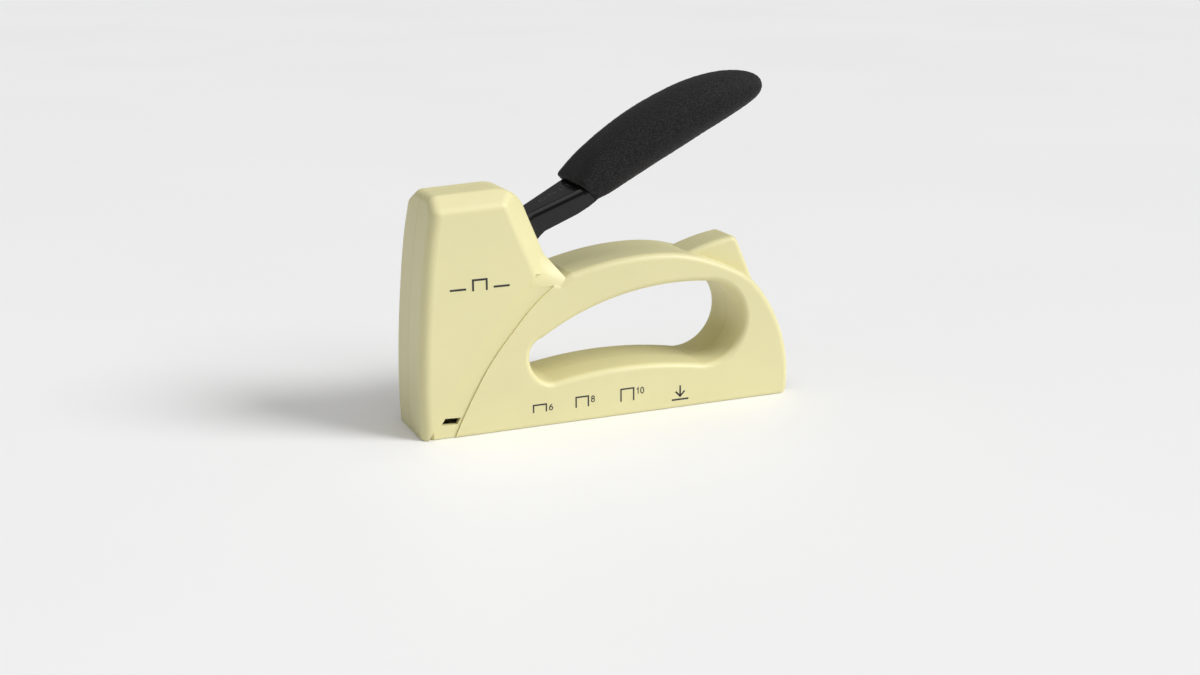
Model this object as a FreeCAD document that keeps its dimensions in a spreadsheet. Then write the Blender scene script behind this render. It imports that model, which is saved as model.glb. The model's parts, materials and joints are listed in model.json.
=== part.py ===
import FreeCAD, Part
import math
import os
import Sketcher
from FreeCAD import Rotation, Vector

# Hand staple gun. Millimetres, +Z up. Every piece is drawn with the nose at x = 0 and the
# centre plane at y = 0, and its Placement then moves the middle of the length to x = 0.

os.makedirs("parts", exist_ok=True)
doc = FreeCAD.newDocument("staple_gun")

# ---------------------------------------------------------------- driving dimensions

DIMENSIONS = {
    "body_length": 158,
    "base_half_width": 16.2,
    "grip_half_width": 15.1,
    "grip_height": 64,
    "panel_half_width": 16.6,
    "head_round": 4,
    "slot_half_width": 8,
    "edge_round": 2.8,
    "hole_round": 2.5,
    "wall": 2.2,
    "sheet_metal": 1,
    "pivot_along": 41,
    "pivot_height": 57,
    "pin_radius": 2.5,
    "pin_length": 29,
    "bush_radius": 3.5,
    "bush_length": 15.6,
    "running_gap": 0.04,
    "lever_slope": 24.6,
    "lever_half_width": 7.5,
    "lever_wide_half_width": 12,
    "lever_top": 19.86,
    "lever_plate": 1.6,
    "claw_reach": 28.5,
    "claw_rest_angle": 10,
    "claw_half_width": 3,
    "claw_tip_radius": 2,
    "plate_front": 3.3,
    "plate_thickness": 1.2,
    "plate_half_width": 11,
    "plate_top": 44,
    "blade_thickness": 1,
    "blade_width": 11.2,
    "blade_bottom": 0.6,
    "blade_top": 54,
    "plunger_bottom": 44,
    "plunger_height": 13,
    "plunger_rear": 25.5,
    "plunger_half_width": 8,
    "spring_along": 17,
    "spring_mean_radius": 7.2,
    "spring_wire": 0.9,
    "spring_bottom": 57,
    "spring_top": 83.5,
    "cap_thickness": 2.6,
    "bumper_thickness": 4,
    "guide_half_width": 9,
    "channel_front": 5.8,
    "channel_rear": 146,
    "channel_half_width": 7,
    "channel_top": 12.3,
    "rail_front": 6,
    "rail_rear": 153,
    "rail_half_width": 4.8,
    "rail_bottom": 0.6,
    "rail_height": 8.9,
    "rail_plate": 0.8,
    "follower_length": 15,
    "follower_half_width": 5.7,
    "end_cap_front": 147,
    "end_cap_rear": 155.4,
    "end_cap_half_width": 10.4,
    "end_cap_height": 14.6,
    "rod_radius": 1,
    "rod_height": 5.2,
    "screw_shank_radius": 1.4,
    "screw_head_radius": 3,
}
sheet = doc.addObject("Spreadsheet::Sheet", "Dims")
for row, (alias, number) in enumerate(DIMENSIONS.items(), start=1):
    sheet.set("A%d" % row, alias.replace("_", " "))
    sheet.set("B%d" % row, str(number))
    sheet.setAlias("B%d" % row, alias)
doc.recompute()


def dim(alias):
    return float(getattr(sheet, alias))


HALF_LENGTH = dim("body_length") / 2
nodes = []


# ---------------------------------------------------------------- helpers

def node(obj, name):
    """Name a finished sub-part and move it from the nose's frame to the part's frame."""
    obj.Label = name
    obj.Placement = FreeCAD.Placement(Vector(-HALF_LENGTH, 0, 0), Rotation()) * obj.Placement
    nodes.append(obj)
    return obj


def shape_node(name, shape):
    """A sub-part whose shape comes from Part's own functions."""
    feature = doc.addObject("Part::Feature", name)
    feature.Shape = shape
    return node(feature, name)


def block(name, x, y, z):
    """Part::Box whose start and length along each axis are spreadsheet expressions."""
    box = doc.addObject("Part::Box", name)
    for size, axis, (start, length) in (("Length", "x", x), ("Width", "y", y), ("Height", "z", z)):
        box.setExpression(size, length)
        box.setExpression("Placement.Base." + axis, start)
    return box


TURNS = {"x": Rotation(Vector(0, 1, 0), 90), "y": Rotation(Vector(1, 0, 0), -90), "z": Rotation()}


def round_bar(name, along, radius, length, start):
    """Part::Cylinder along an axis, from start, all given as spreadsheet expressions."""
    bar = doc.addObject("Part::Cylinder", name)
    bar.Placement = FreeCAD.Placement(Vector(), TURNS[along])
    bar.setExpression("Radius", radius)
    bar.setExpression("Height", length)
    for axis, place in zip("xyz", start):
        bar.setExpression("Placement.Base." + axis, place)
    return bar


def join(name, *pieces):
    fused = doc.addObject("Part::MultiFuse", name)
    fused.Shapes = list(pieces)
    fused.Refine = True
    return fused


def group(name, *pieces):
    """Separate solids, or one primitive, kept together as one sub-part."""
    compound = doc.addObject("Part::Compound", name)
    compound.Links = list(pieces)
    return compound


def cut(name, base, *tools):
    """Base less one tool, or less the tools joined."""
    result = doc.addObject("Part::Cut", name)
    result.Base = base
    result.Tool = tools[0] if len(tools) == 1 else join(name + "_tools", *tools)
    return result


def at(x, z, y=0):
    return Vector(x, y, z)


def line(start, end):
    return Part.LineSegment(start, end).toShape()


def arc(start, through, end):
    return Part.Arc(start, through, end).toShape()


def spline(points):
    curve = Part.BSplineCurve()
    curve.interpolate(Points=points)
    return curve.toShape()


def slab(wire_or_points, half_width):
    """Side outline, as a wire or corner points (x, z), made solid from -half_width to half_width."""
    wire = wire_or_points
    if isinstance(wire, list):
        wire = Part.makePolygon([at(*p) for p in wire + wire[:1]])
    solid = Part.Face(wire).extrude(Vector(0, 2 * half_width, 0))
    solid.translate(Vector(0, -half_width, 0))
    return solid


def solid_box(x, y, z):
    """Box from (low, high) pairs."""
    size = [pair[1] - pair[0] for pair in (x, y, z)]
    return Part.makeBox(*size, Vector(x[0], y[0], z[0]))


def middle(edge):
    return edge.valueAt((edge.FirstParameter + edge.LastParameter) / 2)


def mirrored(shape):
    return shape.mirror(Vector(), Vector(0, 1, 0))


# ---------------------------------------------------------------- outer form of the casing

BASE_SKIRT = -1.6
HOLE_RIGHT = at(119.9, 33.4)
HOLE_RIGHT_RADIUS = 17


def body_outline():
    """Side outline of the base, rear and grip. Its front end is buried in the head."""
    rear = [at(157.8, 3), at(157, 18), at(151.9, 33.6), at(140.6, 49.6)]
    grip = [at(136.5, 52.6), at(124, 58.4), at(109, 62.7), at(94, 63.7), at(78, 62.4), at(62, 59)]
    heel = at(154.8, BASE_SKIRT)
    front = [grip[-1], at(57, 56), at(34, 60), at(4, 14), at(4, BASE_SKIRT), heel]
    edges = [arc(heel, at(156.95, 0.2), rear[0]), spline(rear), line(rear[-1], grip[0]), spline(grip)]
    edges += [line(a, b) for a, b in zip(front, front[1:])]
    return Part.Wire(edges)


def hole_outline():
    """Finger hole: a long drop with a slack lower edge and an arched upper one."""
    upper = [at(119.9, 50.4), at(108, 51), at(83.8, 48.4), at(59.4, 40), at(50, 34.8)]
    lower = [at(118.5, 16.5), at(84, 19.5), at(54.6, 16.6)]
    front = spline([upper[-1], at(44.6, 29.5), at(45.6, 22.2), lower[-1]])
    right = HOLE_RIGHT + Vector(HOLE_RIGHT_RADIUS, 0, 0)
    return Part.Wire([spline(upper), front, arc(*lower[::-1]), arc(lower[0], right, upper[0])])


def taper_wedge(inset=0):
    """Slab across the whole length, wide at the base and narrower at the grip."""
    low, high = dim("base_half_width") - inset, dim("grip_half_width") - inset
    top = dim("grip_height")
    corners = [(-low, BASE_SKIRT), (-high, top), (high, top), (low, BASE_SKIRT)]
    wire = Part.makePolygon([Vector(-5, y, z) for y, z in corners + corners[:1]])
    return Part.Face(wire).extrude(Vector(dim("body_length") + 10, 0, 0))


def on_side(edge):
    box = edge.BoundBox
    return box.YMin > dim("grip_half_width") - 0.2 or box.YMax < 0.2 - dim("grip_half_width")


def in_hole(edge):
    spot = middle(edge)
    return 44 < spot.x < 137.5 and 15 < spot.z < 52


def rounded_body():
    body = slab(body_outline(), 18).cut(slab(hole_outline(), 20)).common(taper_wedge())
    heel = [e for e in body.Edges if abs(middle(e).y) < 0.1 and e.BoundBox.ZMin > 49
            and 135 < middle(e).x < 142]
    body = body.makeFillet(9, heel)
    rim = [e for e in body.Edges if on_side(e) and in_hole(e)]
    body = body.makeFillet(dim("hole_round"), rim)
    rim = [e for e in body.Edges if on_side(e) and not in_hole(e)]
    return body.makeFillet(dim("edge_round"), rim)


# Head section: its full outline, which the top and rear corners are then taken off.
NOSE = [at(0.5, BASE_SKIRT), at(0.05, 20), at(1.9, 54), at(4.2, 75), at(7.6, 92)]
CROWN_REAR = at(33.5, 93.1)
BACK = [at(45.6, 84.6), at(54.4, 63.8)]
DIAGONAL = [at(45.6, 59.2), at(33.2, 46), at(22, 31), at(10.8, 13.8), at(1.6, BASE_SKIRT)]


def head_outline():
    corners = BACK + [at(60.1, 57.3), at(46.8, 60.6), DIAGONAL[0]]
    edges = [spline(NOSE), line(NOSE[-1], CROWN_REAR), arc(CROWN_REAR, at(41.3, 90.4), BACK[0])]
    edges += [line(p, q) for p, q in zip(corners, corners[1:])]
    edges += [spline(DIAGONAL), line(DIAGONAL[-1], NOSE[0])]
    return Part.Wire(edges)


def bevel(start, end, across, down):
    """Prism that takes a corner off along an outline edge: across the top, and down the side."""
    run = end - start
    outward = Vector(-run.z, 0, run.x).normalize()
    panel = dim("panel_half_width")
    low = Vector(0, panel, 0) - outward * down
    high = Vector(0, panel - across, 0)
    slope = high - low
    corners = [low - slope, high + slope, high + slope + Vector(0, 30, 0) + outward * 10]
    base = start - run
    wire = Part.makePolygon([base + corner for corner in corners + corners[:1]])
    return Part.Face(wire).extrude(run * 3)


def rounded_on_head(edge):
    """Edges across the crown, and along both sides except beside the diagonal."""
    spot = middle(edge)
    if abs(spot.y) < 0.1:
        return spot.z > 80
    above_diagonal = spot.z > 61.5 or spot.x * 1.366 - spot.z < -14
    return abs(spot.y) > 5 and above_diagonal and spot.x < 56 and spot.z > 2


def head_block():
    head = slab(head_outline(), dim("panel_half_width"))
    corners = (bevel(NOSE[-1], CROWN_REAR, 8, 4.8), bevel(BACK[0], BACK[1], 8.6, 8.7))
    for corner in corners:
        head = head.cut(corner).cut(mirrored(corner))
    return head.makeFillet(dim("head_round"), [e for e in head.Edges if rounded_on_head(e)])


def neck():
    """Twisted surface that carries the head's rear bevel down into the sides of the grip."""
    upper = [(40, 15.4, 69), (43.4, 15.4, 69), (50.8, 7.2, 69)]
    lower = [(40, 14.5, 55), (46, 14.6, 55), (61.6, 14.9, 55)]
    wires = []
    for corners in (upper, lower):
        right = [Vector(*corner) for corner in corners]
        ring = right + [Vector(p.x, -p.y, p.z) for p in right[::-1]]
        wires.append(Part.makePolygon(ring + ring[:1]))
    return Part.makeLoft(wires, True, True)


def fin():
    """Hump at the rear of the grip that the lever comes down to."""
    rise = [at(110, 59.8), at(117.5, 62.5), at(126, 64.9), at(133, 66.2)]
    tip = at(135.6, 65.9)
    rear = [at(137.2, 63.8), at(140.4, 56.6), at(146.5, 42)]
    edges = [spline(rise), arc(rise[-1], tip, rear[0]), spline(rear), line(rear[-1], rise[0])]
    hump = slab(Part.Wire(edges), 8.8)
    sides = [e for e in hump.Edges if abs(abs(middle(e).y) - 8.8) < 0.01 and middle(e).z > 50
             and e.BoundBox.ZMax > 62.2]
    return hump.makeFillet(2.4, sides)


# Shallow diagonal band between the head's side panel and the base.
BAND = [at(62, 62), at(56.8, 56.9), at(48.5, 50.4), at(37.1, 38.4), at(29, 28.4), at(22.2, 17.4),
        at(17.4, 8.6), at(12.6, BASE_SKIRT)]
BAND_DEPTH = 0.7


def band_cutter():
    step = spline(BAND)
    corners = [BAND[-1], at(-4, BASE_SKIRT), at(-4, 30), at(40, 70), BAND[0]]
    edges = [step] + [line(a, b) for a, b in zip(corners, corners[1:])]
    return slab(Part.Wire(edges), 20).cut(taper_wedge(BAND_DEPTH))


WINDOW = [(9.5, 7.7), (15.8, 7.4), (14.3, 4.9), (7.9, 5.2)]


def outer_form():
    body = rounded_body().cut(band_cutter()).fuse([head_block(), neck(), fin()])
    floor = solid_box((-10, 170), (-30, 30), (-10, 0))
    return body.cut(floor).removeSplitter()


# ---------------------------------------------------------------- casing shells

SCREWS = [(30.5, 81.4), (30, 27), (72, 53), (108, 56.9), (146, 22)]
PIVOT = at(dim("pivot_along"), dim("pivot_height"))
CAVITY_HALF_WIDTH = 13.4
HEAD_CAVITY = [(4.6, 2.2), (4.6, 48), (5.6, 56), (6.8, 73), (8.8, 84.4), (10.2, 86.1), (33.6, 86.1),
               (36.8, 84.4), (47, 62), (47, 50), (40, 40), (30, 24), (18, 2.2)]
BASE_CAVITY = [(8, 2.2), (153, 2.2), (155.3, 4.4), (154.6, 17.5), (149.6, 32.4), (138, 48), (134, 51),
               (123, 56), (108.5, 60.3), (94, 61.2), (78.5, 60), (62, 56.6), (50, 54), (36, 56), (8, 14)]
HOLE_WALL = [(101, 16.2), (84, 17), (68, 16.1), (54, 14.2), (47.5, 16), (43, 21), (42, 30), (45, 35),
             (50, 37.8), (59, 42.7), (71, 47.4), (83.5, 51), (96, 53), (108, 53.6)]
BLADE_ROOM = [(4.4, -1), (4.4, 66.8), (5.4, 67), (5.4, 70), (12, 70), (12, -1)]
LEVER_SLOT = [(30, 50), (30, 75.6), (48, 84.2), (64, 92), (64, 62.6), (59, 60.4), (57.8, 50)]
SEAM = 0.18
SCREW_SEAT = 12.4
SCREW_TIP = -9
BOSS_RADIUS = 3.6
RIB_PLACES = (34, 66, 98, 132)


def cavity():
    """Space inside the two shells, before the bosses and ribs are added back."""
    wall = HOLE_RIGHT_RADIUS + dim("wall")
    lower, upper = HOLE_RIGHT - Vector(0, 0, wall), HOLE_RIGHT + Vector(0, 0, wall)
    ring = [lower] + [at(*p) for p in HOLE_WALL] + [upper]
    edges = [line(a, b) for a, b in zip(ring, ring[1:])]
    edges.append(arc(upper, HOLE_RIGHT + Vector(wall, 0, 0), lower))
    base = slab(BASE_CAVITY, CAVITY_HALF_WIDTH).cut(slab(Part.Wire(edges), 20))
    return base.fuse(slab(HEAD_CAVITY, CAVITY_HALF_WIDTH))


def side_posts(form):
    """Bosses and ribs that stand on the inner faces of both shells."""
    reach = 15
    posts = [Part.makeCylinder(BOSS_RADIUS, 2 * reach, at(x, z, -reach), Vector(0, 1, 0))
             for x, z in SCREWS]
    pivot_boss = Part.makeCylinder(6, 2 * reach, PIVOT + Vector(0, -reach, 0), Vector(0, 1, 0))
    posts.append(pivot_boss.cut(solid_box((30, 52), (-8.2, 11.9), (45, 70))))
    ribs = [solid_box((x, x + 1.6), (-reach, reach), (1, 14)) for x in RIB_PLACES]
    ribs.append(solid_box((7, 25), (-reach, reach), (33.8, 35.8)))
    channel_room = solid_box((0, 170), (-7.05, 7.05), (0, 20))
    guide_room = solid_box((3, 30), (-9.05, 9.05), (20, 50))
    posts += [rib.cut(channel_room).cut(guide_room) for rib in ribs]
    return posts[0].fuse(posts[1:]).common(form)


def casing():
    form = outer_form()
    hollow = form.cut(cavity()).fuse(side_posts(form))
    seam = solid_box((-10, 170), (-SEAM / 2, SEAM / 2), (-10, 100)).cut(cavity())
    gap = 0.05
    plate_room = solid_box((dim("plate_front"), 4.7), (-11 - gap, 11 + gap), (-1, dim("plate_top") + gap))
    cap_room = solid_box((146.8, 170), (-10.7, 10.7), (-1, 15))
    channel_room = solid_box((4, 170), (-7.05, 7.05), (-1, dim("channel_top") + gap))
    blade_room = slab(BLADE_ROOM, 5.75)
    window = slab(WINDOW, 20)
    slot = slab(LEVER_SLOT, dim("slot_half_width"))
    pin = Part.makeCylinder(dim("pin_radius"), dim("pin_length"),
                            PIVOT - Vector(0, dim("pin_length") / 2, 0), Vector(0, 1, 0))
    for tool in (seam, plate_room, cap_room, channel_room, blade_room, window, slot, pin):
        hollow = hollow.cut(tool)
    return hollow


def screw_holes(radius, start, end):
    return [Part.makeCylinder(radius, end - start, at(x, z, start), Vector(0, 1, 0)) for x, z in SCREWS]


def make_shells():
    both = casing()
    half = solid_box((-10, 170), (0, 30), (-10, 100))
    pilot = screw_holes(dim("screw_shank_radius"), SCREW_TIP, 20)
    seats = screw_holes(dim("screw_head_radius") + 0.15, SCREW_SEAT, 20)
    left = both.cut(half)
    right = both.common(half)
    for hole in pilot:
        left = left.cut(hole)
        right = right.cut(hole)
    for seat in seats:
        right = right.cut(seat)
    shape_node("left_shell", left.Solids[0])
    shape_node("right_shell", right.Solids[0])


make_shells()

def make_screws():
    """Five self-tapping screws with cross recesses, driven in from the right shell."""
    head, shank = dim("screw_head_radius"), dim("screw_shank_radius")
    head_top = SCREW_SEAT + 2
    screws = []
    for x, z in SCREWS:
        stem = Part.makeCylinder(shank, SCREW_SEAT - SCREW_TIP, at(x, z, SCREW_TIP), Vector(0, 1, 0))
        disc = Part.makeCylinder(head, 2, at(x, z, SCREW_SEAT), Vector(0, 1, 0))
        disc = disc.makeFillet(0.8, [e for e in disc.Edges if abs(middle(e).y - head_top) < 0.01])
        screw = stem.fuse(disc)
        for wide, high in ((1.8, 0.35), (0.35, 1.8)):
            recess = solid_box((x - wide, x + wide), (head_top - 1.2, head_top + 1), (z - high, z + high))
            screw = screw.cut(recess)
        screws += screw.Solids
    shape_node("shell_screws", Part.makeCompound(screws))


make_screws()


# ---------------------------------------------------------------- sketched plates and channels

def origin_plane(body, role):
    return next(f for f in body.Origin.OriginFeatures if f.Role == role)


def attached_sketch(body, name, role, offset):
    sketch = body.newObject("Sketcher::SketchObject", name)
    sketch.AttachmentSupport = [(origin_plane(body, role), "")]
    sketch.MapMode = "FlatFace"
    sketch.setExpression("AttachmentOffset.Base.z", offset)
    return sketch


def draw_polygon(sketch, corners):
    """Closed outline through corners, each a pair of spreadsheet expressions."""
    count = len(corners)
    start = [Vector(math.cos(2 * math.pi * i / count), math.sin(2 * math.pi * i / count), 0)
             for i in range(count)]
    for i in range(count):
        sketch.addGeometry(Part.LineSegment(start[i], start[(i + 1) % count]), False)
    for i in range(count):
        sketch.addConstraint(Sketcher.Constraint("Coincident", i, 2, (i + 1) % count, 1))
    for i, corner in enumerate(corners):
        for kind, text in zip(("DistanceX", "DistanceY"), corner):
            index = sketch.addConstraint(Sketcher.Constraint(kind, -1, 1, i, 1, 1.0))
            sketch.setExpression("Constraints[%d]" % index, text)


def extruded(name, role, offset, corners, length):
    """PartDesign body: one outline padded along its plane's normal from offset."""
    body = doc.addObject("PartDesign::Body", name)
    sketch = attached_sketch(body, name + "_outline", role, offset)
    draw_polygon(sketch, corners)
    pad = body.newObject("PartDesign::Pad", name + "_pad")
    pad.Profile = sketch
    pad.setExpression("Length", length)
    doc.recompute()
    return body


def pierce(body, role, offset, centres, radius, length):
    """Round holes cut through a PartDesign body, symmetric about the sketch plane."""
    sketch = attached_sketch(body, body.Name + "_holes", role, offset)
    for x, y in centres:
        circle = sketch.addGeometry(Part.Circle(Vector(x, y, 0), Vector(0, 0, 1), radius), False)
        sketch.addConstraint(Sketcher.Constraint("Radius", circle, radius))
    pocket = body.newObject("PartDesign::Pocket", body.Name + "_bores")
    pocket.Profile = sketch
    pocket.Length = length
    pocket.Midplane = True
    before = body.Shape.Volume
    doc.recompute()
    if body.Shape.Volume >= before:
        raise RuntimeError(body.Name + ": the bores cut nothing")


def rectangle(low, high):
    return [(low[0], low[1]), (high[0], low[1]), (high[0], high[1]), (low[0], high[1])]


BLADE_RIVETS = (47, 51.5)
RAIL_RIVET = (150, 5)
CHANNEL_WINDOW = ((140.1, 143.2), (-2.3, 2.3))


def make_nose_plate():
    """Steel striker plate that closes the front of the staple exit."""
    outline = rectangle(("-Dims.plate_half_width", "0"), ("Dims.plate_half_width", "Dims.plate_top"))
    node(extruded("nose_plate", "YZ_Plane", "Dims.plate_front", outline, "Dims.plate_thickness"),
         "nose_plate")


def make_magazine_channel():
    """Upside-down U of sheet steel, fixed in the base, with a window for the latch hook."""
    wide, top, skin = "Dims.channel_half_width", "Dims.channel_top", "Dims.sheet_metal"
    inner, under = wide + " - " + skin, top + " - " + skin
    outline = [("-" + wide, "0.4"), ("-" + wide, top), (wide, top), (wide, "0.4"),
               (inner, "0.4"), (inner, under), ("-(%s)" % inner, under), ("-(%s)" % inner, "0.4")]
    channel = extruded("magazine_channel", "YZ_Plane", "Dims.channel_front", outline,
                       "Dims.channel_rear - Dims.channel_front")
    (x0, x1), (y0, y1) = CHANNEL_WINDOW
    sketch = attached_sketch(channel, "hook_window", "XY_Plane", "Dims.channel_top + 1")
    draw_polygon(sketch, rectangle((str(x0), str(y0)), (str(x1), str(y1))))
    pocket = channel.newObject("PartDesign::Pocket", "hook_window_cut")
    pocket.Profile = sketch
    pocket.Length = 4
    node(channel, "magazine_channel")


def make_magazine_rail():
    """Open-topped U of sheet steel that the staples ride on; it draws out to the rear."""
    wide, skin = "Dims.rail_half_width", "Dims.rail_plate"
    low, high = "Dims.rail_bottom", "Dims.rail_bottom + Dims.rail_height"
    inner, floor = wide + " - " + skin, low + " + " + skin
    outline = [("-" + wide, low), (wide, low), (wide, high), (inner, high), (inner, floor),
               ("-(%s)" % inner, floor), ("-(%s)" % inner, high), ("-" + wide, high)]
    rail = extruded("magazine_rail", "YZ_Plane", "Dims.rail_front", outline,
                    "Dims.rail_rear - Dims.rail_front")
    pierce(rail, "XZ_Plane", "0", [RAIL_RIVET], 1.1, 20)
    node(rail, "magazine_rail")


def make_driver_blade():
    """Flat hardened blade that drives the staple, riveted to the plunger."""
    outline = rectangle(("-Dims.blade_width / 2", "Dims.blade_bottom"),
                        ("Dims.blade_width / 2", "Dims.blade_top"))
    front = "Dims.plate_front + Dims.plate_thickness + 0.1"
    blade = extruded("driver_blade", "YZ_Plane", front, outline, "Dims.blade_thickness")
    pierce(blade, "YZ_Plane", front, [(0, z) for z in BLADE_RIVETS], 1.2, 10)
    node(blade, "driver_blade")


make_nose_plate()
make_magazine_channel()
make_magazine_rail()
make_driver_blade()


# ---------------------------------------------------------------- striker, guide and power spring

BLADE_REAR = "Dims.plate_front + Dims.plate_thickness + 0.1 + Dims.blade_thickness"
TONGUE_REAR = "7.7"
LEDGE_TOP = "40"


def make_striker_guide():
    """Two side bars that guide the blade and the plunger, a back plate and the bumper's ledge."""
    front = "Dims.plate_front + Dims.plate_thickness"
    bar_width = "Dims.guide_half_width - Dims.blade_width / 2 - 0.15"
    inner = "Dims.blade_width / 2 + 0.15"
    bar = ("12.6", "Dims.plate_top - 12.6")
    bars = [block("guide_bar_right", (front, "3.6"), (inner, bar_width), bar),
            block("guide_bar_left", (front, "3.6"), ("-Dims.guide_half_width", bar_width), bar)]
    across = ("-Dims.guide_half_width", "2 * Dims.guide_half_width")
    back = block("guide_back", (BLADE_REAR + " + 0.1", "1.4"), across, ("12.6", "27.4"))
    ledge = block("guide_ledge", (BLADE_REAR + " + 0.1", "19"), across, (LEDGE_TOP + " - 4", "4"))
    node(join("striker_guide", *bars, back, ledge), "striker_guide")


def make_plunger():
    """Striker block: a tongue for the blade, a notch for the claw and a slot for its arm."""
    half = "Dims.plunger_half_width"
    rise = ("Dims.plunger_bottom", "Dims.plunger_height")
    tongue = block("plunger_tongue", (BLADE_REAR, TONGUE_REAR + " - (%s) + 1" % BLADE_REAR),
                   ("-5.5", "11"), rise)
    main = block("plunger_main", (TONGUE_REAR, "Dims.plunger_rear - " + TONGUE_REAR),
                 ("-" + half, "2 * " + half), rise)
    notch = block("plunger_notch", ("10.2", "5"), ("-3.5", "7"), ("49.8", "4.5"))
    slot = block("plunger_slot", ("14.2", "20"), ("-3.5", "7"), ("Dims.plunger_bottom - 1", "15"))
    bores = [round_bar("plunger_bore_%d" % i, "x", "1.2", "8", ("3", "0", str(z)))
             for i, z in enumerate(BLADE_RIVETS)]
    node(cut("plunger", join("plunger_block", tongue, main), notch, slot, *bores), "plunger")


def make_blade_rivets():
    rivets = [round_bar("blade_rivet_%d" % i, "x", "1.2", "5.2", (BLADE_REAR + " - 0.9", "0", str(z)))
              for i, z in enumerate(BLADE_RIVETS)]
    node(group("blade_rivets", *rivets), "blade_rivets")


def make_bumper():
    """Rubber pad that stops the plunger."""
    pad = block("bumper_pad", ("8.2", "15"), ("-Dims.plunger_half_width", "2 * Dims.plunger_half_width"),
                (LEDGE_TOP, "Dims.bumper_thickness"))
    well = round_bar("bumper_well", "z", "3", "6", ("Dims.spring_along", "0", "39"))
    node(cut("plunger_bumper", pad, well), "plunger_bumper")


def make_spring_cap():
    """Seat that holds the top of the power spring against the roof of the head."""
    plate = block("cap_plate", ("10.6", "15"), ("-8.6", "17.2"), ("Dims.spring_top", "Dims.cap_thickness"))
    stud = round_bar("cap_stud", "z", "5.6", "4", ("Dims.spring_along", "0", "Dims.spring_top - 4"))
    node(join("spring_cap", plate, stud), "spring_cap")


def coil(radius, wire, length, turns):
    """Round-wire helix about +Z, its wire's centre from z = wire to length - wire."""
    rise = length - 2 * wire
    path = Part.makeHelix(rise / turns, rise, radius)
    section = Part.Wire(Part.makeCircle(wire, Vector(radius, 0, 0), Vector(0, 1, 0)))
    return Part.Wire(path.Edges).makePipeShell([section], True, True).translated(Vector(0, 0, wire))


def make_power_spring():
    length = dim("spring_top") - dim("spring_bottom")
    spring = coil(dim("spring_mean_radius"), dim("spring_wire"), length, 6.5)
    shape_node("power_spring", spring.translated(at(dim("spring_along"), dim("spring_bottom"))))


make_striker_guide()
make_plunger()
make_blade_rivets()
make_bumper()
make_spring_cap()
make_power_spring()


# ---------------------------------------------------------------- lever

SLOPE = math.radians(dim("lever_slope"))
RIVET_SPOTS = [(42.5, 69.5), (46.5, 67.5)]
CLAW_TIP = PIVOT - Vector(math.cos(math.radians(dim("claw_rest_angle"))), 0,
                          math.sin(math.radians(dim("claw_rest_angle")))) * dim("claw_reach")


def along_lever(reach, rise, y=0):
    """Point given along and square to the lever's top face, from the pivot."""
    return PIVOT + Vector(reach * math.cos(SLOPE) - rise * math.sin(SLOPE), y,
                          reach * math.sin(SLOPE) + rise * math.cos(SLOPE))


def lever_block(skin):
    """Lever's side outline times its tapering width, less skin on the top and the sides."""
    top = dim("lever_top") - skin
    heel, toe = at(34.2, 60.1), at(48.3, 58.7)
    under = [toe, at(50.5, 71.9), at(53.6, 75.1), at(66, 81.3), at(73.1, 85.9),
             along_lever(52, 14.2), along_lever(104, 15.5), along_lever(104, top), along_lever(8, top), heel]
    edges = [arc(heel, at(41, 49.5), toe)] + [line(a, b) for a, b in zip(under, under[1:])]
    side = slab(Part.Wire(edges), 20)
    narrow, wide = dim("lever_half_width") - skin, dim("lever_wide_half_width") - skin
    plan = [(-20, narrow), (17, narrow), (38, wide), (41, wide - 0.2), (50, 9 - skin), (104, 6.5 - skin)]
    corners = [along_lever(x, -30, -y) for x, y in plan] + [along_lever(x, -30, y) for x, y in plan[::-1]]
    face = Part.Face(Part.makePolygon(corners + corners[:1]))
    return side.common(face.extrude((along_lever(0, 30) - along_lever(0, -30))))


def lever_holes(radius):
    pin = Part.makeCylinder(dim("bush_radius"), 40, PIVOT - Vector(0, 20, 0), Vector(0, 1, 0))
    spots = [Part.makeCylinder(radius, 40, at(x, z, -20), Vector(0, 1, 0)) for x, z in RIVET_SPOTS]
    return [pin] + spots


def make_lever_channel():
    """Stamped steel channel, open below, narrow in the head and wide under the grip."""
    whole = lever_block(0)
    top_edges = [e for e in whole.Edges if lies_on_top(e)]
    whole = whole.makeFillet(2.6, top_edges)
    room = lever_block(dim("lever_plate"))
    channel = whole.cut(room)
    for hole in lever_holes(1.6):
        channel = channel.cut(hole)
    shape_node("lever_channel", channel)
    return whole


def lies_on_top(edge):
    """Long edges where the lever's top face turns down into its flanks."""
    ends = [v.Point - PIVOT for v in edge.Vertexes]
    rise = [p.z * math.cos(SLOPE) - p.x * math.sin(SLOPE) for p in ends]
    reach = [p.x * math.cos(SLOPE) + p.z * math.sin(SLOPE) for p in ends]
    level = all(abs(r - dim("lever_top")) < 0.01 for r in rise)
    return level and abs(reach[0] - reach[1]) > 1


# Oval sections of the foam sleeve: reach, rise, half height, half width, tilt in degrees.
GRIP_SECTIONS = [(40.2, 17.8, 8.6, 13.6, 23), (52, 20.3, 10, 13.4, 8), (70, 22.3, 11, 13.6, 0),
                 (93.8, 23.1, 10.6, 13.4, 0), (111.5, 21.8, 8.6, 12.2, 0), (119.5, 20.5, 6.8, 10.4, 0),
                 (124, 19.9, 4.7, 8, 0), (126.6, 19.6, 2, 3.4, 0)]


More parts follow.
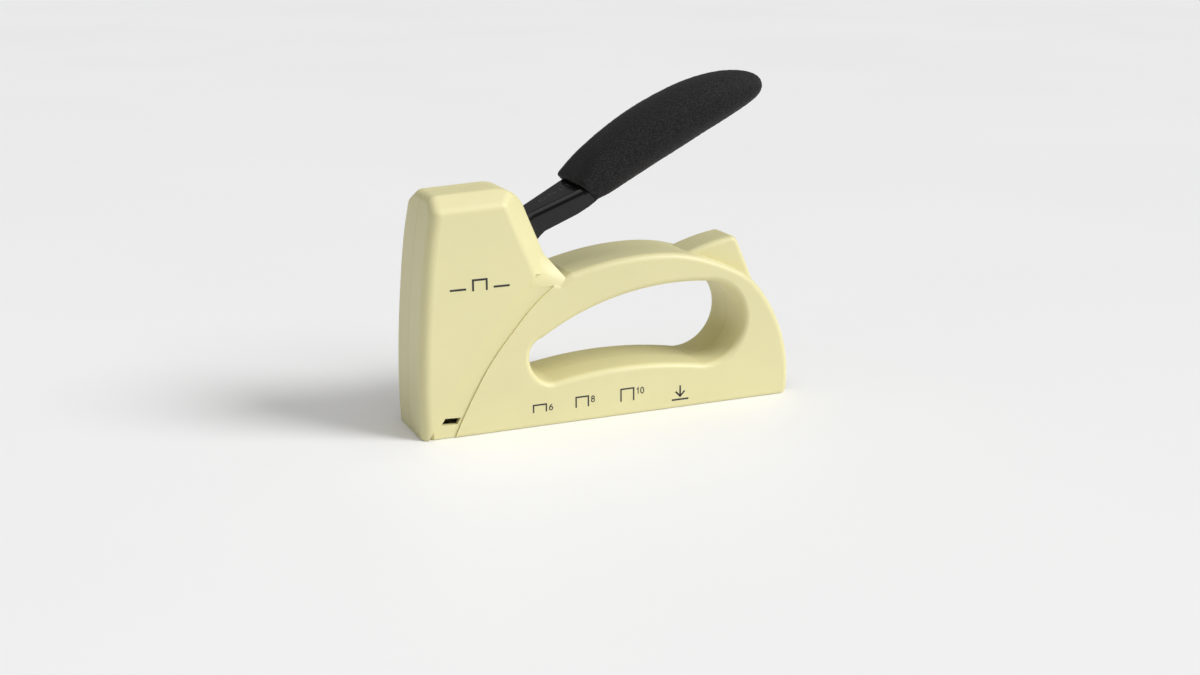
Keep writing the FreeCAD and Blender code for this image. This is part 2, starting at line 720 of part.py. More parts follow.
def make_lever_grip(core):
    """Foam sleeve, a plain closed solid around the steel channel's core."""
    ovals = []
    for reach, rise, high, wide, tilt in GRIP_SECTIONS:
        lean = SLOPE + math.radians(tilt)
        up = Vector(-math.sin(lean), 0, math.cos(lean))
        centre = along_lever(reach, rise)
        oval = Part.Ellipse(centre + Vector(0, wide, 0), centre + up * high, centre)
        ovals.append(Part.Wire(oval.toShape()))
    sleeve = Part.makeLoft(ovals, True, False)
    shape_node("lever_grip", sleeve.cut(core))


def make_lift_claw():
    """Hardened claw: a slim arm to the plunger and a wide root between the lever's flanks."""
    slim, wide = dim("claw_half_width"), dim("lever_half_width") - dim("lever_plate") - 0.1
    tip = Part.makeCylinder(dim("claw_tip_radius"), 2 * slim, CLAW_TIP - Vector(0, slim, 0), Vector(0, 1, 0))
    arm = slab([(12.58, 54.02), (26, 56.5), (36, 60.3), (44, 60), (44, 53), (34, 51.6), (26, 52.2),
                (13.28, 50.08)], slim)
    root = slab([(36.6, 57), (39.8, 72.8), (48, 72), (46, 57)], wide)
    boss = Part.makeCylinder(6, 2 * wide, PIVOT - Vector(0, wide, 0), Vector(0, 1, 0))
    claw = boss.fuse([root, arm, tip])
    for hole in lever_holes(1.6):
        claw = claw.cut(hole)
    shape_node("lift_claw", claw.removeSplitter())


def make_claw_rivets():
    half = dim("lever_half_width") + 0.35
    rivets = [Part.makeCylinder(1.6, 2 * half, at(x, z, -half), Vector(0, 1, 0)) for x, z in RIVET_SPOTS]
    shape_node("claw_rivets", Part.makeCompound(rivets))


def make_pivot():
    """Fixed pin in the shells' bosses and the bush that the lever turns on."""
    centre = ("Dims.pivot_along", "-Dims.pin_length / 2", "Dims.pivot_height")
    pin = round_bar("pivot_pin_bar", "y", "Dims.pin_radius", "Dims.pin_length", centre)
    node(group("lever_pivot_pin", pin), "lever_pivot_pin")


def make_pivot_bush():
    centre = ("Dims.pivot_along", "-Dims.bush_length / 2", "Dims.pivot_height")
    sleeve = round_bar("bush_sleeve", "y", "Dims.bush_radius", "Dims.bush_length", centre)
    bore = round_bar("bush_bore", "y", "Dims.pin_radius + Dims.running_gap", "Dims.bush_length", centre)
    node(cut("pivot_bush", sleeve, bore), "pivot_bush")


def make_return_spring():
    """Torsion spring beside the lever, with one leg lying along its flank."""
    turned = Rotation(Vector(1, 0, 0), -90)
    spring = coil(4.7, 0.6, 3.6, 1.75)
    spring.Placement = FreeCAD.Placement(PIVOT + Vector(0, 8.2, 0), turned)
    shape_node("lever_return_spring", spring)


make_lever_grip(make_lever_channel())
make_lift_claw()
make_claw_rivets()
make_pivot()
make_pivot_bush()
make_return_spring()


# ---------------------------------------------------------------- magazine drawer

def make_end_cap():
    """Moulded cap on the rail's rear end, with a fork that seats the rod and the spring."""
    wide = "Dims.end_cap_half_width"
    main = block("cap_main", ("Dims.end_cap_front", "Dims.end_cap_rear - Dims.end_cap_front"),
                 ("-" + wide, "2 * " + wide), ("0.3", "Dims.end_cap_height - 0.3"))
    fork = block("cap_fork", ("136.2", "Dims.end_cap_front - 136.2"),
                 ("-Dims.rail_half_width + Dims.rail_plate", "2 * (Dims.rail_half_width - Dims.rail_plate)"),
                 ("Dims.rail_bottom + Dims.rail_plate", "7.6"))
    latch_room = block("cap_latch_room", ("139.4", "20"), ("-2.25", "4.5"), ("1.4", "8"))
    rail_room = block("cap_rail_room", ("Dims.end_cap_front - 1", "Dims.rail_rear - Dims.end_cap_front + 1"),
                      ("-Dims.rail_half_width", "2 * Dims.rail_half_width"),
                      ("Dims.rail_bottom", "Dims.rail_height"))
    inner = block("cap_inner", ("Dims.end_cap_front", "Dims.rail_rear - Dims.end_cap_front"),
                  ("-Dims.rail_half_width + Dims.rail_plate", "2 * (Dims.rail_half_width - Dims.rail_plate)"),
                  ("Dims.rail_bottom + Dims.rail_plate", "Dims.rail_height"))
    outside = cut("cap_outside", main, rail_room)
    rivet = round_bar("cap_rivet_bore", "y", "1.1", "40", (str(RAIL_RIVET[0]), "-20", str(RAIL_RIVET[1])))
    rod = round_bar("cap_rod_bore", "x", "Dims.rod_radius", "3.2", ("136.2", "0", "Dims.rod_height"))
    node(cut("rail_end_cap", join("cap_solid", outside, fork, inner), latch_room, rivet, rod), "rail_end_cap")


def make_rail_rivets():
    x, z = str(RAIL_RIVET[0]), str(RAIL_RIVET[1])
    rivets = [round_bar("rail_rivet_right", "y", "1.1", "6", (x, "2.4", z)),
              round_bar("rail_rivet_left", "y", "1.1", "6", (x, "-8.4", z))]
    node(group("rail_rivets", *rivets), "rail_rivets")


def make_guide_rod():
    rod = round_bar("guide_rod_bar", "x", "Dims.rod_radius", "139.4 - 7.2", ("7.2", "0", "Dims.rod_height"))
    node(group("guide_rod", rod), "guide_rod")


FOLLOWER_FRONT = "6.4"


def make_follower():
    """Saddle on the rail that pushes the staples forward, bored for the rod."""
    wide = "Dims.follower_half_width"
    saddle = block("follower_saddle", (FOLLOWER_FRONT, "Dims.follower_length"),
                   ("-" + wide, "2 * " + wide), ("1.6", "9.5"))
    slots = [block("follower_slot_" + side, (FOLLOWER_FRONT + " - 1", "Dims.follower_length + 2"),
                   (start, "1.1"), ("0", "9.7")) for side, start in (("right", "3.85"), ("left", "-4.95"))]
    bore = round_bar("follower_bore", "x", "Dims.rod_radius + 0.06", "30", ("0", "0", "Dims.rod_height"))
    node(cut("follower", saddle, *slots, bore), "follower")


def make_follower_spring():
    front = float(FOLLOWER_FRONT) + dim("follower_length") + 0.2
    spring = coil(2.1, 0.3, 136 - front, 26)
    spring.Placement = FreeCAD.Placement(at(front, dim("rod_height")), TURNS["x"])
    shape_node("follower_spring", spring)


def make_latch():
    """Thumb tab behind the end cap, an arm through it and a hook up into the channel's window."""
    arm = block("latch_arm", ("140.4", "15.8"), ("-2", "4"), ("6", "3"))
    hook = block("latch_hook", ("140.4", "2.4"), ("-2", "4"), ("6", "6.2"))
    tab = block("latch_tab", ("155.7", "2"), ("-5", "10"), ("3.4", "8.6"))
    node(join("magazine_latch", arm, hook, tab), "magazine_latch")


def make_latch_spring():
    spring = coil(1.4, 0.25, 4.1, 3)
    spring.Placement = FreeCAD.Placement(at(145, 1.8), Rotation())
    shape_node("latch_spring", spring)


make_end_cap()
make_rail_rivets()
make_guide_rod()
make_follower()
make_follower_spring()
make_latch()
make_latch_spring()


# ---------------------------------------------------------------- checks and files

doc.recompute()
failed = [o.Label for o in doc.Objects if {"Invalid", "Error"} & set(o.State)]
failed += [o.Label for o in nodes if o.Shape.isNull() or not o.Shape.isValid()]
if failed:
    raise RuntimeError("not built: " + ", ".join(failed))
for piece in nodes:
    piece.Shape.exportStep("parts/%s.step" % piece.Label)
    box = piece.Shape.optimalBoundingBox(True)
    print("%-20s %d solids %8.0f mm3  x %.1f..%.1f  y %.1f..%.1f  z %.1f..%.1f" % (
        piece.Label, len(piece.Shape.Solids), piece.Shape.Volume, box.XMin, box.XMax, box.YMin, box.YMax,
        box.ZMin, box.ZMax))
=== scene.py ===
import bpy
import json
import math
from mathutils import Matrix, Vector, noise


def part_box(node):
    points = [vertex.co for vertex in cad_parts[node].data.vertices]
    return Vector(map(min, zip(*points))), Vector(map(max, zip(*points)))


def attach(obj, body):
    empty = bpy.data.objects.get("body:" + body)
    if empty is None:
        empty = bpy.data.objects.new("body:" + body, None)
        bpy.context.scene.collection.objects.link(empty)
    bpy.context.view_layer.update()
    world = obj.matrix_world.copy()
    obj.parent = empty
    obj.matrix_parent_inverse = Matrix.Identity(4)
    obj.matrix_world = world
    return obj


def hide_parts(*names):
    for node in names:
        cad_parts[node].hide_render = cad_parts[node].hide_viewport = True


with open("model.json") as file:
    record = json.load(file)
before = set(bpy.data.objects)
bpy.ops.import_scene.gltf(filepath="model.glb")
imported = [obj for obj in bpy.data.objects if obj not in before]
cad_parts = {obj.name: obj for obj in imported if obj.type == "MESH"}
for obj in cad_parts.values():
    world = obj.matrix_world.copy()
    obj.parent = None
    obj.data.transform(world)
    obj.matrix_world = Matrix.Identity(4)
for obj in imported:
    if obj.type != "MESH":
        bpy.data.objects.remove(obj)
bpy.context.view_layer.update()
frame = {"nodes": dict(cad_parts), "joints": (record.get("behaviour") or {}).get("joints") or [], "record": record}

MM = 0.001


def joint(name):
    """The record's entry of a joint."""
    return next(j for j in frame["joints"] if j["name"] == name)


# ---------------------------------------------------------------- materials

def material(name, colour, roughness, metallic=0.0):
    """A Principled material; its nodes are added to by the functions below."""
    mat = bpy.data.materials.new(name)
    mat.use_nodes = True
    shader = mat.node_tree.nodes["Principled BSDF"]
    shader.inputs["Base Color"].default_value = (*colour, 1)
    shader.inputs["Roughness"].default_value = roughness
    shader.inputs["Metallic"].default_value = metallic
    return mat, mat.node_tree, shader


def noise_node(tree, scale, detail=3.0, roughness=0.5, stretch=None):
    """Noise in the object's own space; the scale is in cells per metre."""
    coords = tree.nodes.new("ShaderNodeTexCoord")
    texture = tree.nodes.new("ShaderNodeTexNoise")
    texture.inputs["Scale"].default_value = scale
    texture.inputs["Detail"].default_value = detail
    texture.inputs["Roughness"].default_value = roughness
    source = coords.outputs["Object"]
    if stretch:
        mapping = tree.nodes.new("ShaderNodeMapping")
        mapping.inputs["Scale"].default_value = stretch
        tree.links.new(source, mapping.inputs["Vector"])
        source = mapping.outputs["Vector"]
    tree.links.new(source, texture.inputs["Vector"])
    return texture


def mapped(tree, texture, low, high, out_low, out_high):
    """The texture's factor, low to high, spread over out_low to out_high."""
    node = tree.nodes.new("ShaderNodeMapRange")
    node.inputs["From Min"].default_value = low
    node.inputs["From Max"].default_value = high
    node.inputs["To Min"].default_value = out_low
    node.inputs["To Max"].default_value = out_high
    tree.links.new(texture.outputs[0], node.inputs["Value"])
    return node.outputs["Result"]


def mix_colours(tree, factor, first, second):
    """From the first colour at factor 0 to the second at 1."""
    node = tree.nodes.new("ShaderNodeMix")
    node.data_type = "RGBA"
    node.inputs["A"].default_value = (*first, 1)
    node.inputs["B"].default_value = (*second, 1)
    tree.links.new(factor, node.inputs["Factor"])
    return node.outputs["Result"]


def bump(tree, shader, heights, distance, strength):
    """Surface relief from a height texture; the distance is in metres."""
    node = tree.nodes.new("ShaderNodeBump")
    node.inputs["Strength"].default_value = strength
    node.inputs["Distance"].default_value = distance
    tree.links.new(heights, node.inputs["Height"])
    tree.links.new(node.outputs["Normal"], shader.inputs["Normal"])


def shade(colour, amount):
    """The colour made lighter or darker."""
    return tuple(min(1.0, channel * amount) for channel in colour)


CASING_COLOUR = (0.80, 0.745, 0.415)


def casing_material():
    """Satin moulded ABS with a fine spark-eroded grain and slight flow marks."""
    mat, tree, shader = material("casing_abs", CASING_COLOUR, 0.42)
    flow = noise_node(tree, 22, 4)
    factor = mapped(tree, flow, 0.35, 0.65, 0, 1)
    darker, lighter = shade(CASING_COLOUR, 0.975), shade(CASING_COLOUR, 1.02)
    colour = mix_colours(tree, factor, darker, lighter)
    tree.links.new(colour, shader.inputs["Base Color"])
    grain = noise_node(tree, 2600, 2)
    rough = mapped(tree, grain, 0.3, 0.7, 0.38, 0.48)
    tree.links.new(rough, shader.inputs["Roughness"])
    bump(tree, shader, grain.outputs[0], 0.00002, 0.35)
    shader.inputs["IOR"].default_value = 1.5
    shader.inputs["Subsurface Weight"].default_value = 0.06
    shader.inputs["Subsurface Radius"].default_value = (0.004, 0.003, 0.001)
    shader.inputs["Subsurface Scale"].default_value = 0.5
    return mat


def enamel_material():
    """Gloss black enamel on the stamped lever: slight orange peel, greyer where worn."""
    mat, tree, shader = material("lever_enamel", (0.012, 0.012, 0.013), 0.2)
    peel = noise_node(tree, 420, 2)
    wear = noise_node(tree, 60, 6, 0.7)
    factor = mapped(tree, wear, 0.55, 0.75, 0, 1)
    colour = mix_colours(tree, factor, (0.004, 0.004, 0.0042), (0.011, 0.011, 0.0115))
    tree.links.new(colour, shader.inputs["Base Color"])
    rough = mapped(tree, wear, 0.3, 0.8, 0.16, 0.34)
    tree.links.new(rough, shader.inputs["Roughness"])
    bump(tree, shader, peel.outputs[0], 0.00003, 0.3)
    shader.inputs["Specular IOR Level"].default_value = 0.3
    shader.inputs["Coat Weight"].default_value = 0.25
    shader.inputs["Coat Roughness"].default_value = 0.1
    return mat


def foam_material():
    """Closed-cell foam: matt black with an open grain of lighter cell edges."""
    mat, tree, shader = material("grip_foam", (0.012, 0.011, 0.012), 0.9)
    cells = tree.nodes.new("ShaderNodeTexVoronoi")
    cells.inputs["Scale"].default_value = 1500
    coords = tree.nodes.new("ShaderNodeTexCoord")
    tree.links.new(coords.outputs["Object"], cells.inputs["Vector"])
    fine = noise_node(tree, 1900, 3, 0.6)
    factor = mapped(tree, fine, 0.42, 0.68, 0, 1)
    colour = mix_colours(tree, factor, (0.004, 0.0036, 0.0042), (0.026, 0.0235, 0.026))
    tree.links.new(colour, shader.inputs["Base Color"])
    rough = mapped(tree, cells, 0.0, 0.7, 0.95, 0.72)
    tree.links.new(rough, shader.inputs["Roughness"])
    bump(tree, shader, fine.outputs[0], 0.00018, 0.8)
    shader.inputs["Specular IOR Level"].default_value = 0.25
    shader.inputs["Sheen Weight"].default_value = 0.04
    shader.inputs["Sheen Roughness"].default_value = 0.5
    return mat


def metal_material(name, colour, low, high, grain, stretch=(1, 1, 14)):
    """Sheet steel or wire with a drawn grain and slightly uneven plating."""
    mat, tree, shader = material(name, colour, low, 1.0)
    lines = noise_node(tree, grain, 3, 0.6, stretch)
    patches = noise_node(tree, 90, 3)
    factor = mapped(tree, patches, 0.3, 0.7, 0, 1)
    tint = mix_colours(tree, factor, shade(colour, 0.86), shade(colour, 1.06))
    tree.links.new(tint, shader.inputs["Base Color"])
    rough = mapped(tree, lines, 0.3, 0.7, low, high)
    tree.links.new(rough, shader.inputs["Roughness"])
    bump(tree, shader, lines.outputs[0], 0.00001, 0.4)
    return mat


def black_plastic_material(name, base, low, high):
    """Moulded black plastic or rubber with a leathered grain."""
    mat, tree, shader = material(name, base, low)
    grain = noise_node(tree, 900, 3)
    patches = noise_node(tree, 70, 3)
    factor = mapped(tree, patches, 0.3, 0.7, 0, 1)
    colour = mix_colours(tree, factor, shade(base, 0.8), shade(base, 1.25))
    tree.links.new(colour, shader.inputs["Base Color"])
    rough = mapped(tree, grain, 0.3, 0.7, low, high)
    tree.links.new(rough, shader.inputs["Roughness"])
    bump(tree, shader, grain.outputs[0], 0.00004, 0.5)
    return mat


def painted_highlight_material():
    """Pale lines of painted highlight, standing for the light caught on the edges of marks pressed into the
    lever's enamel.
    """
    # This pale line colour is painted highlight; the noise below darkens it unevenly towards the enamel.
    line = (0.16, 0.16, 0.165)
    mat, tree, shader = material("painted_highlight_line", line, 0.4)
    cover = noise_node(tree, 900, 3)
    factor = mapped(tree, cover, 0.35, 0.7, 0, 1)
    colour = mix_colours(tree, factor, line, (0.04, 0.04, 0.042))
    tree.links.new(colour, shader.inputs["Base Color"])
    rough = mapped(tree, cover, 0.3, 0.7, 0.3, 0.5)
    tree.links.new(rough, shader.inputs["Roughness"])
    return mat


def ink_material():
    """Dark pad-printed ink with slightly uneven cover."""
    ink = (0.022, 0.021, 0.02)
    mat, tree, shader = material("printed_ink", ink, 0.5)
    cover = noise_node(tree, 1400, 3)
    factor = mapped(tree, cover, 0.5, 0.8, 0, 1)
    colour = mix_colours(tree, factor, ink, (0.10, 0.095, 0.075))
    tree.links.new(colour, shader.inputs["Base Color"])
    rough = mapped(tree, cover, 0.3, 0.7, 0.42, 0.6)
    tree.links.new(rough, shader.inputs["Roughness"])
    return mat


BLACK_PLASTIC = (0.02, 0.02, 0.021)
BLACK_RUBBER = (0.022, 0.021, 0.02)
ZINC = (0.60, 0.61, 0.62)
HARD_STEEL = (0.30, 0.29, 0.28)
SPRING_STEEL = (0.50, 0.50, 0.51)
SCREW_STEEL = (0.58, 0.58, 0.57)

finishes = {
    "casing": casing_material(),
    "handle_steel": enamel_material(),
    "foam_grip": foam_material(),
    "zinc_steel": metal_material("zinc_plate", ZINC, 0.28, 0.42, 500, (1, 1, 10)),
    "hard_steel": metal_material("hardened_steel", HARD_STEEL, 0.3, 0.48, 700),
    "spring_steel": metal_material("spring_wire", SPRING_STEEL, 0.22, 0.36, 900),
    "black_plastic": black_plastic_material("black_moulding", BLACK_PLASTIC, 0.42, 0.58),
    "rubber_pad": black_plastic_material("bumper_rubber", BLACK_RUBBER, 0.7, 0.88),
    "screw_steel": metal_material("zinc_screw", SCREW_STEEL, 0.2, 0.34, 1200),
}
ink = ink_material()
# Painted highlight for the pressed marks on the lever.
highlight_paint = painted_highlight_material()

for entry in frame["record"]["subparts"]:
    shown = frame["nodes"][entry["node"]]
    for place in shown.material_slots:
        place.material = finishes[entry["material_slot"]]


# ---------------------------------------------------------------- added pieces

def mesh_piece(name, points, faces, mat, body, smooth=True):
    """A mesh object from points in metres, riding on a body."""
    mesh = bpy.data.meshes.new(name)
    mesh.from_pydata([tuple(p) for p in points], [], faces)
    mesh.update()
    for polygon in mesh.polygons:
        polygon.use_smooth = smooth
    piece = bpy.data.objects.new(name, mesh)
    bpy.context.scene.collection.objects.link(piece)
    mesh.materials.append(mat)
    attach(piece, body)
    return piece


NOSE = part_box("left_shell")[0].x
hinge = Vector(joint("lever_hinge")["pos_m"])


def from_nose(along, height, side=0.0):
    """Point from millimetres behind the nose, above the sole and off the centre plane."""
    return Vector((NOSE + along * MM, side * MM, height * MM))


# ---------------------------------------------------------------- foam sleeve on the lever

LEVER_SLOPE = math.radians(24.6)
LEVER_ALONG = Vector((math.cos(LEVER_SLOPE), 0, math.sin(LEVER_SLOPE)))
LEVER_UP = Vector((-math.sin(LEVER_SLOPE), 0, math.cos(LEVER_SLOPE)))


def on_lever(reach, rise, side=0.0):
    """Point from millimetres along and square to the lever's top face, from the hinge."""
    across = Vector((0, side * MM, 0))
    return hinge + LEVER_ALONG * reach * MM + LEVER_UP * rise * MM + across


# Stations of the sleeve: reach, middle rise, half height, half width, squareness of the section.
SLEEVE = [
    (40.0, 17.7, 5.3, 13.5, 4.4),
    (46, 18.9, 7.4, 13.5, 3.5),
    (52, 20.1, 9.1, 13.4, 2.8),
    (60, 21.3, 10.3, 13.4, 2.45),
    (70, 22.3, 11.0, 13.5, 2.3),
    (82, 22.9, 11.1, 13.5, 2.25),
    (94, 23.1, 10.6, 13.3, 2.25),
    (104, 22.6, 9.7, 12.8, 2.25),
    (112, 21.8, 8.5, 12.0, 2.25),
    (118, 20.9, 7.1, 10.8, 2.25),
    (122, 20.2, 5.7, 9.2, 2.25),
    (125, 19.8, 3.9, 6.8, 2.2),
    (126.5, 19.65, 2.2, 4.0, 2.1),
    (126.9, 19.6, 1.0, 1.8, 2.0),
]
SLEEVE_AROUND = 176
SLEEVE_STEPS = 150
# Rings from inside the mouth out over its small round: inset, and how far back of the rim.
MOUTH_ROUND = [(3.4, 4.0), (3.4, 0.35), (2.2, 0.1), (1.0, 0.0), (0.45, 0.1), (0.12, 0.4)]
MOUTH_LEAN = 0.43
LEAN_FADE = 22
# Each grain: noise scale in cells per metre, and height in millimetres.
FINE_GRAIN = (900, 0.11)
COARSE_GRAIN = (60, 0.12)


def smooth_value(stations, column, at):
    """Catmull-Rom value of a column at a reach."""
    last = len(stations) - 1
    i = max(k for k in range(last) if stations[k][0] <= at)
    x0, x1 = stations[i][0], stations[i + 1][0]
    w = (at - x0) / (x1 - x0)
    y0, y1 = stations[i][column], stations[i + 1][column]

    def slope(k):
        before, after = stations[max(0, k - 1)], stations[min(last, k + 1)]
        return (after[column] - before[column]) / (after[0] - before[0])

    m0, m1 = slope(i) * (x1 - x0), slope(i + 1) * (x1 - x0)
    return ((2 * w ** 3 - 3 * w ** 2 + 1) * y0 + (w ** 3 - 2 * w ** 2 + w) * m0
            + (3 * w ** 2 - 2 * w ** 3) * y1 + (w ** 3 - w ** 2) * m1)


def sleeve_ring(reach, count, shrink=0.0):
    """One section of the sleeve, leaning near the mouth so that its lower edge is further on."""
    centre, half, wide, power = (smooth_value(SLEEVE, column, reach) for column in (1, 2, 3, 4))
    fade = max(0.0, 1 - (reach - SLEEVE[0][0]) / LEAN_FADE)
    lean = MOUTH_LEAN * fade ** 1.5
    half, wide = max(half - shrink, 0.3), max(wide - shrink, 0.3)
    ring = []
    for k in range(count):
        angle = 2 * math.pi * k / count
        c, s = math.cos(angle), math.sin(angle)
        across = math.copysign(abs(c) ** (2 / power), c) * wide
        rise = math.copysign(abs(s) ** (2 / power), s) * half
        ring.append((reach - rise * lean, centre + rise, across))
    return ring


def grain(point):
    """Height of the foam's cells at a point, in millimetres."""
    fine_scale, fine_height = FINE_GRAIN
    coarse_scale, coarse_height = COARSE_GRAIN
    fine = noise.noise(point * fine_scale)
    coarse = noise.noise(point * coarse_scale)
    return fine_height * fine + coarse_height * coarse


def make_sleeve():
    """Foam sleeve round the lever, in place of its CAD solid."""
    around = SLEEVE_AROUND
    start, end = SLEEVE[0][0], SLEEVE[-1][0]
    rows = []
    for inset, back in MOUTH_ROUND:
        rows.append([(r + back, h, y) for r, h, y in sleeve_ring(start, around, inset)])
    for i in range(SLEEVE_STEPS + 1):
        w = i / SLEEVE_STEPS
        reach = start + 1.0 + (end - start - 1.0) * (1 - (1 - w) ** 1.25)
        rows.append(sleeve_ring(reach, around))
    points = [on_lever(*spot) for row in rows for spot in row]
    faces = []
    for i in range(len(rows) - 1):
        for k in range(around):
            a, b = i * around + k, i * around + (k + 1) % around
            faces.append((a, b, b + around, a + around))
    tip = len(points)
    points.append(on_lever(end + 0.05, SLEEVE[-1][1]))
    last = (len(rows) - 1) * around
    faces += [(last + k, last + (k + 1) % around, tip) for k in range(around)]
    foam = finishes["foam_grip"]
    sleeve = mesh_piece("foam_sleeve", points, faces, foam, "lever")
    mesh = sleeve.data
    normals = [v.normal.copy() for v in mesh.vertices]
    for vertex, normal in zip(mesh.vertices, normals):
        vertex.co += normal * grain(vertex.co) * MM
    mesh.update()
    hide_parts("lever_grip")


make_sleeve()


# ---------------------------------------------------------------- printed marks, and pressed marks drawn as painted highlight

SHARPEST_MITRE = 0.4


def stroke(points, width, closed):
    """Corners and quads of a line of even width along flat points, mitred at its bends."""
    count = len(points)
    corners, quads = [], []
    for i, (x, z) in enumerate(points):
        before = points[i - 1] if i or closed else None
        after = points[(i + 1) % count] if i + 1 < count or closed else None
        runs = []
        if before:
            runs.append(Vector((x - before[0], z - before[1])).normalized())
        if after:
            runs.append(Vector((after[0] - x, after[1] - z)).normalized())
        along = sum(runs, Vector((0, 0))).normalized()
        across = Vector((-along.y, along.x))
        square = Vector((-runs[0].y, runs[0].x))
        reach = width / 2 / max(SHARPEST_MITRE, abs(across.dot(square)))
        corners.append((x + across.x * reach, z + across.y * reach))
        corners.append((x - across.x * reach, z - across.y * reach))
    for i in range(count if closed else count - 1):
        j = (i + 1) % count
        quads.append((2 * i, 2 * i + 1, 2 * j + 1, 2 * j))
    return corners, quads


def loop(x, z, wide, high, count=28):
    """Points of an ellipse about x, z."""
    turns = [2 * math.pi * k / count for k in range(count)]
    return [(x + wide / 2 * math.cos(turn), z + high / 2 * math.sin(turn)) for turn in turns]


def marks(name, strokes, place, mat, body):
    """One piece from strokes, each (points, width, closed), put where place(x, z) says."""
    points, faces = [], []
    for line, width, closed in strokes:
        corners, quads = stroke(line, width, closed)
        faces += [tuple(len(points) + i for i in quad) for quad in quads]
        points += [place(*corner) for corner in corners]
    mesh_piece(name, points, faces, mat, body, smooth=False)


INK_HEIGHT = 0.03
PANEL_SIDE = 16.6
# The base's side is this far out just under the sole, and leans in by the slope above it.
BASE_SIDE = 16.2
BASE_FOOT = -1.6
BASE_SLOPE = 1.1 / 65.6
LEVER_TOP = 19.86
# Lift of the lever's painted highlight lines above its top face.
HIGHLIGHT_LIFT = 0.02


def on_base(along, height):
    """Point on the near side of the base."""
    side = BASE_SIDE - (height - BASE_FOOT) * BASE_SLOPE
    return from_nose(along, height, -side - INK_HEIGHT)


def on_panel(along, height):
    """Point on the near side panel of the head."""
    return from_nose(along, height, -PANEL_SIDE - INK_HEIGHT)


def on_lever_top(reach, side):
    """Point on the lever's top face."""
    return on_lever(reach, LEVER_TOP + HIGHLIGHT_LIFT, side)


NUMERAL_LINE = 0.42
SIZE_LINE = 0.62
PRESS_LINE = 0.7
PANEL_LINE = 0.8
HIGHLIGHT_LINE_WIDTH = 0.22
NUMERAL_PITCH = 1.75


def digit(figure, x, z, wide=1.3, high=2.4):
    """Strokes of one numeral with its lower left corner at x, z."""
    middle, line = x + wide / 2, NUMERAL_LINE
    if figure == "1":
        flag = (x + 0.1, z + high * 0.72)
        return [([flag, (middle, z + high), (middle, z)], line, False)]
    if figure == "0":
        return [(loop(middle, z + high / 2, wide, high), line, True)]
    if figure == "8":
        return [(loop(middle, z + high * 0.27, wide, high * 0.54), line, True),
                (loop(middle, z + high * 0.77, wide * 0.84, high * 0.46), line, True)]
    bowl = high * 0.56
    back = [(middle + wide * 0.36, z + high * 0.95), (x + wide * 0.24, z + high * 0.72),
            (x, z + bowl / 2)]
    return [(loop(middle, z + bowl / 2, wide, bowl), line, True), (back, line, False)]


def make_size_marks():
    """Staple outlines of three leg lengths, each with its plain leg length in millimetres."""
    sizes_shown = [("6", 45, 50.3, 5.6, 8.6), ("8", 62.8, 68, 5.4, 9.6), ("10", 82, 87.5, 5.4, 10.5)]
    for figures, left, right, low, high in sizes_shown:
        outline = [(left, low), (left, high), (right, high), (right, low)]
        strokes = [(outline, SIZE_LINE, False)]
        for i, figure in enumerate(figures):
            strokes += digit(figure, right + 1.3 + NUMERAL_PITCH * i, high - 2.6)
        marks("size_mark_" + figures, strokes, on_base, ink, "housing")


def make_press_mark():
    """Arrow pressing down on a line: hold the nose flat on the work."""
    shaft = [(108, 9), (108, 4.6)]
    head = [(106, 6.6), (108, 4.5), (110, 6.6)]
    work = [(104.3, 3.2), (111.7, 3.2)]
    strokes = [(line, PRESS_LINE, False) for line in (shaft, head, work)]
    marks("press_mark", strokes, on_base, ink, "housing")


def make_panel_mark():
    """A staple between two bars, in the middle of the side panel."""
    staple = [(21.3, 56.6), (21.3, 60.8), (26.7, 60.8), (26.7, 56.6)]
    front_bar = [(12.2, 57.6), (18.6, 57.6)]
    rear_bar = [(29.4, 57.6), (35.8, 57.6)]
    strokes = [(line, PANEL_LINE, False) for line in (staple, front_bar, rear_bar)]
    marks("panel_mark", strokes, on_panel, ink, "housing")


def make_lever_marks():
    """Three plain outlines of marks pressed into the lever's top face, drawn flat in painted highlight."""
    circle = loop(25.6, 0.6, 3, 3)
    triangle = [(28.9, -0.9), (28.9, 2.3), (32, 0.7)]
    square = [(33.8, -1), (33.8, 2.4), (37.2, 2.4), (37.2, -1)]
    strokes = [(line, HIGHLIGHT_LINE_WIDTH, True) for line in (circle, triangle, square)]
    # The outlines lie flat on the lever in painted highlight, with no relief.
    marks("lever_marks", strokes, on_lever_top, highlight_paint, "lever")


make_size_marks()
make_press_mark()
make_panel_mark()
make_lever_marks()


# ---------------------------------------------------------------- floor, light and camera

FLOOR_REACH = 6.0
FLOOR_DROP = 0.0002


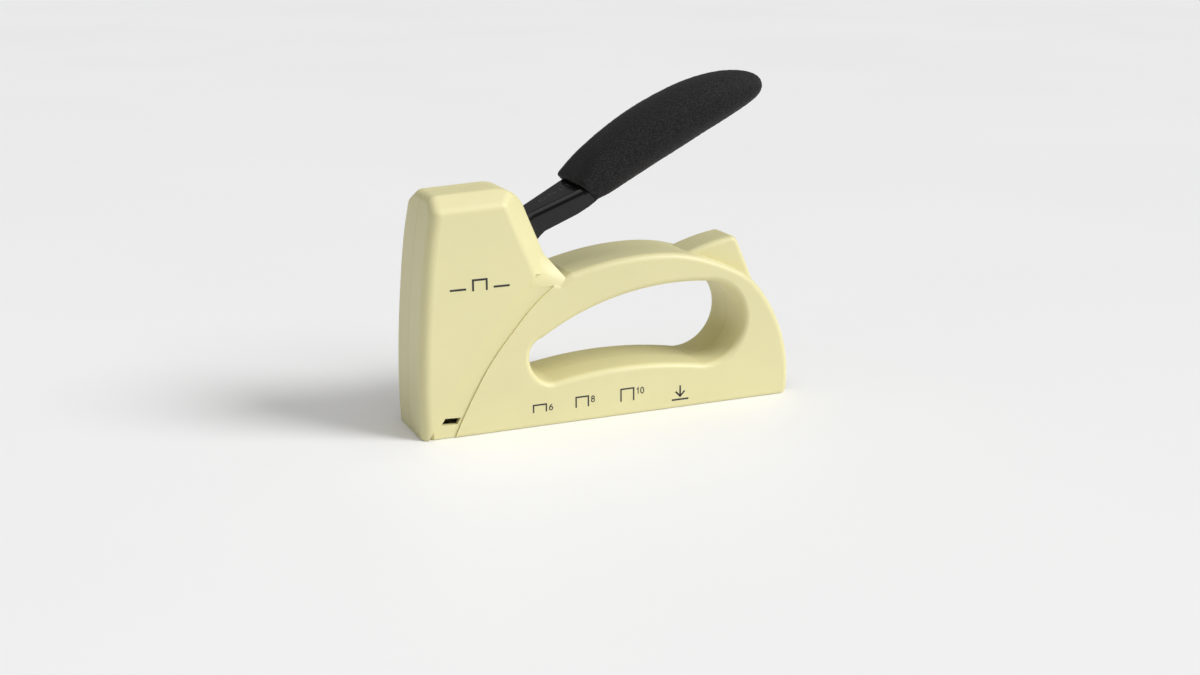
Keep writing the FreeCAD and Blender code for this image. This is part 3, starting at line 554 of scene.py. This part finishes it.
def make_floor():
    """Plain pale floor, just under the sole."""
    mat, tree, shader = material("pale_floor", (0.93, 0.93, 0.93), 0.6)
    mottle = noise_node(tree, 3, 2)
    factor = mapped(tree, mottle, 0.3, 0.7, 0, 1)
    colour = mix_colours(tree, factor, (0.92, 0.92, 0.925), (0.94, 0.94, 0.94))
    tree.links.new(colour, shader.inputs["Base Color"])
    far = FLOOR_REACH
    corners = [(-far, -far, 0), (far, -far, 0), (far, far, 0), (-far, far, 0)]
    mesh = bpy.data.meshes.new("floor")
    mesh.from_pydata(corners, [], [(0, 1, 2, 3)])
    floor = bpy.data.objects.new("floor", mesh)
    floor.location.z = -FLOOR_DROP
    bpy.context.scene.collection.objects.link(floor)
    mesh.materials.append(mat)


def soft_sun(name, towards, spread, strength):
    """A wide distant light that shines along a direction."""
    data = bpy.data.lights.new(name, "SUN")
    data.energy = strength
    data.angle = math.radians(spread)
    lamp = bpy.data.objects.new(name, data)
    lamp.location = -Vector(towards)
    lamp.rotation_euler = Vector(towards).to_track_quat("-Z", "Y").to_euler()
    bpy.context.scene.collection.objects.link(lamp)


def make_studio():
    """White surroundings, a soft light from the right and a softer one from above."""
    world = bpy.data.worlds.new("studio")
    bpy.context.scene.world = world
    world.use_nodes = True
    background = world.node_tree.nodes["Background"]
    background.inputs["Color"].default_value = (1, 1, 1, 1)
    background.inputs["Strength"].default_value = 0.16
    soft_sun("key", (-0.6, 0.48, -0.62), 28, 2.35)
    soft_sun("top", (0.05, 0.1, -1), 70, 1.1)


def make_camera():
    """The photo's view: 23.3 degrees left of square-on and 15.75 degrees up."""
    azimuth, elevation = math.radians(-23.29), math.radians(15.75)
    distance = 0.64041
    target = Vector((0.00089, 0, 0.02792))
    level = math.cos(elevation)
    back = Vector((math.sin(azimuth) * level, -math.cos(azimuth) * level, math.sin(elevation)))
    data = bpy.data.cameras.new("camera")
    data.lens = 48
    data.sensor_width = 36
    data.clip_start = 0.01
    camera = bpy.data.objects.new("camera", data)
    camera.location = target + back * distance
    camera.rotation_euler = (-back).to_track_quat("-Z", "Y").to_euler()
    bpy.context.scene.collection.objects.link(camera)
    bpy.context.scene.camera = camera


make_floor()
make_studio()
make_camera()

bpy.context.scene.view_settings.view_transform = "Standard"
bpy.context.view_layer.update()
